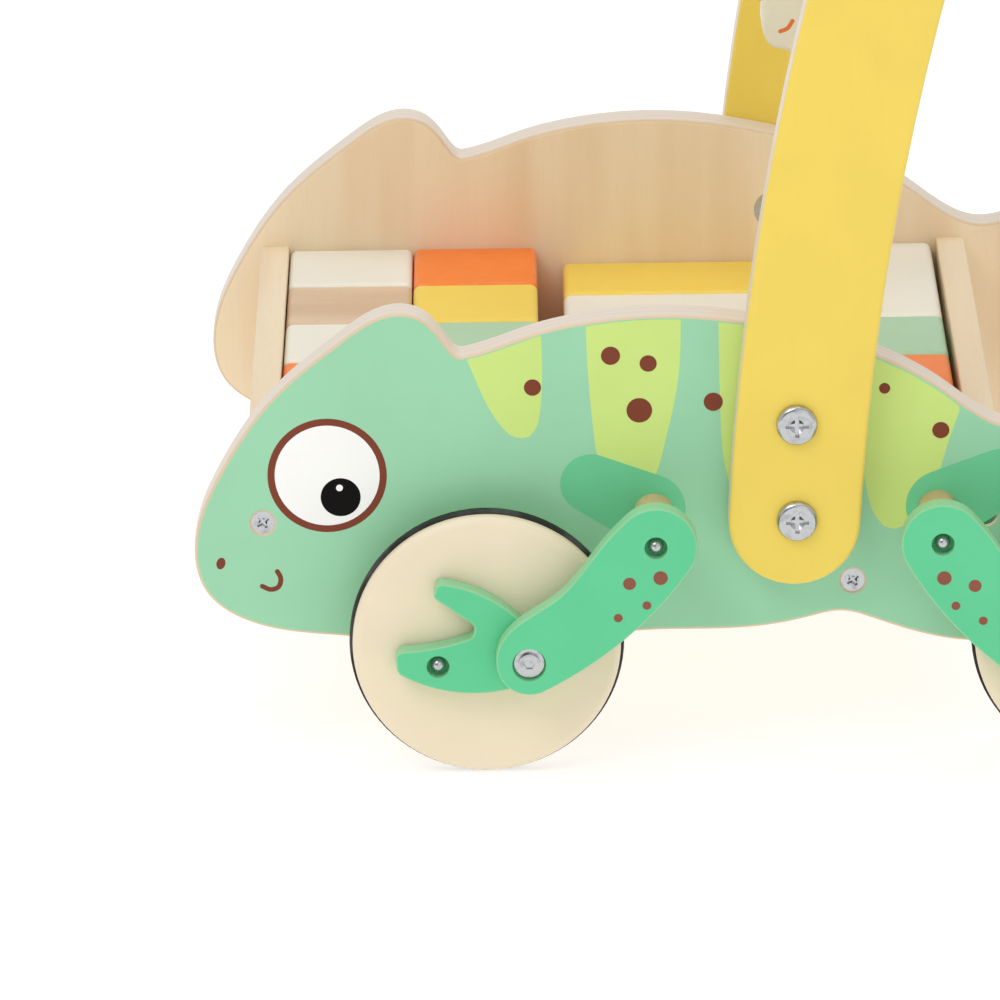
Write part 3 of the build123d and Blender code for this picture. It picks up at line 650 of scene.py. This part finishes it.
# The sky's share of light, by how far a direction points to +Y: from, to, and the shares there.
DARK_ROOM = (-0.95, -0.55, 0.30, 1.0)
floor_mesh = bpy.data.meshes.new("floor")
floor_mesh.from_pydata(
    [(-FLOOR, -FLOOR, 0), (FLOOR, -FLOOR, 0), (FLOOR, FLOOR, 0), (-FLOOR, FLOOR, 0)], [], [(0, 1, 2, 3)]
)
floor = bpy.data.objects.new("floor", floor_mesh)
bpy.context.scene.collection.objects.link(floor)
floor_finish = Finish("floor_paper", 0.9, specular=0.1)
floor_mesh.materials.append(floor_finish.colour(PAPER))
# The paper glows a little, so that it stays nearly white under the object.
floor_finish.shader.inputs["Emission Color"].default_value = GLOW
floor_finish.shader.inputs["Emission Strength"].default_value = GLOW_STRENGTH

world = bpy.data.worlds.new("studio")
world.use_nodes = True
sky = world.node_tree
backdrop = sky.nodes["Background"]
backdrop.inputs["Strength"].default_value = SKY_STRENGTH
# The room behind the camera, towards -Y, is darker, so that bright metal has something to reflect.
direction = sky.nodes.new("ShaderNodeTexCoord")
split = sky.nodes.new("ShaderNodeSeparateXYZ")
sky.links.new(direction.outputs["Generated"], split.inputs[0])
room = sky.nodes.new("ShaderNodeMapRange")
room.interpolation_type = "SMOOTHSTEP"
for socket, value in zip(list(room.inputs)[1:5], DARK_ROOM):
    socket.default_value = value
sky.links.new(split.outputs[1], room.inputs[0])
sky.links.new(room.outputs[0], backdrop.inputs["Color"])
bpy.context.scene.world = world

AIM = Vector((0.0, 0.0, 0.1))    # where the lights point


def soft_light(name, place, size, power):
    """Large square studio light, aimed at the object."""
    lamp = bpy.data.lights.new(name, "AREA")
    lamp.size = size
    lamp.energy = power
    holder = bpy.data.objects.new(name, lamp)
    holder.location = place
    holder.rotation_euler = (AIM - Vector(place)).to_track_quat("-Z", "Y").to_euler()
    bpy.context.scene.collection.objects.link(holder)


soft_light("key_light", (-1.1, -1.6, 2.2), 1.4, 19.0)
soft_light("front_light", (0.7, -2.4, 0.9), 1.6, 7.0)
soft_light("top_light", (0.3, 0.3, 2.6), 1.8, 13.0)

# ------------------------------------------------------------------- camera
LENS = 326.5             # millimetres
SENSOR = 36.0
FAR_CLIP = 50.0
CAMERA_PLACE = (-0.0877, -2.7364, 0.9608)
LOOK_DOWN = 18.52        # degrees below the horizon
YAW = 0.055              # degrees
ROLL = -0.77

camera_data = bpy.data.cameras.new("camera")
camera_data.lens = LENS
camera_data.sensor_width = SENSOR
camera_data.clip_end = FAR_CLIP
camera = bpy.data.objects.new("camera", camera_data)
turn = Matrix.Rotation(math.radians(YAW), 4, "Z")
turn = turn @ Matrix.Rotation(math.radians(90 - LOOK_DOWN), 4, "X")
turn = turn @ Matrix.Rotation(math.radians(ROLL), 4, "Z")
camera.matrix_world = Matrix.Translation(CAMERA_PLACE) @ turn
bpy.context.scene.collection.objects.link(camera)
bpy.context.scene.camera = camera

bpy.context.scene.view_settings.view_transform = "Standard"
bpy.context.scene.view_settings.look = "None"
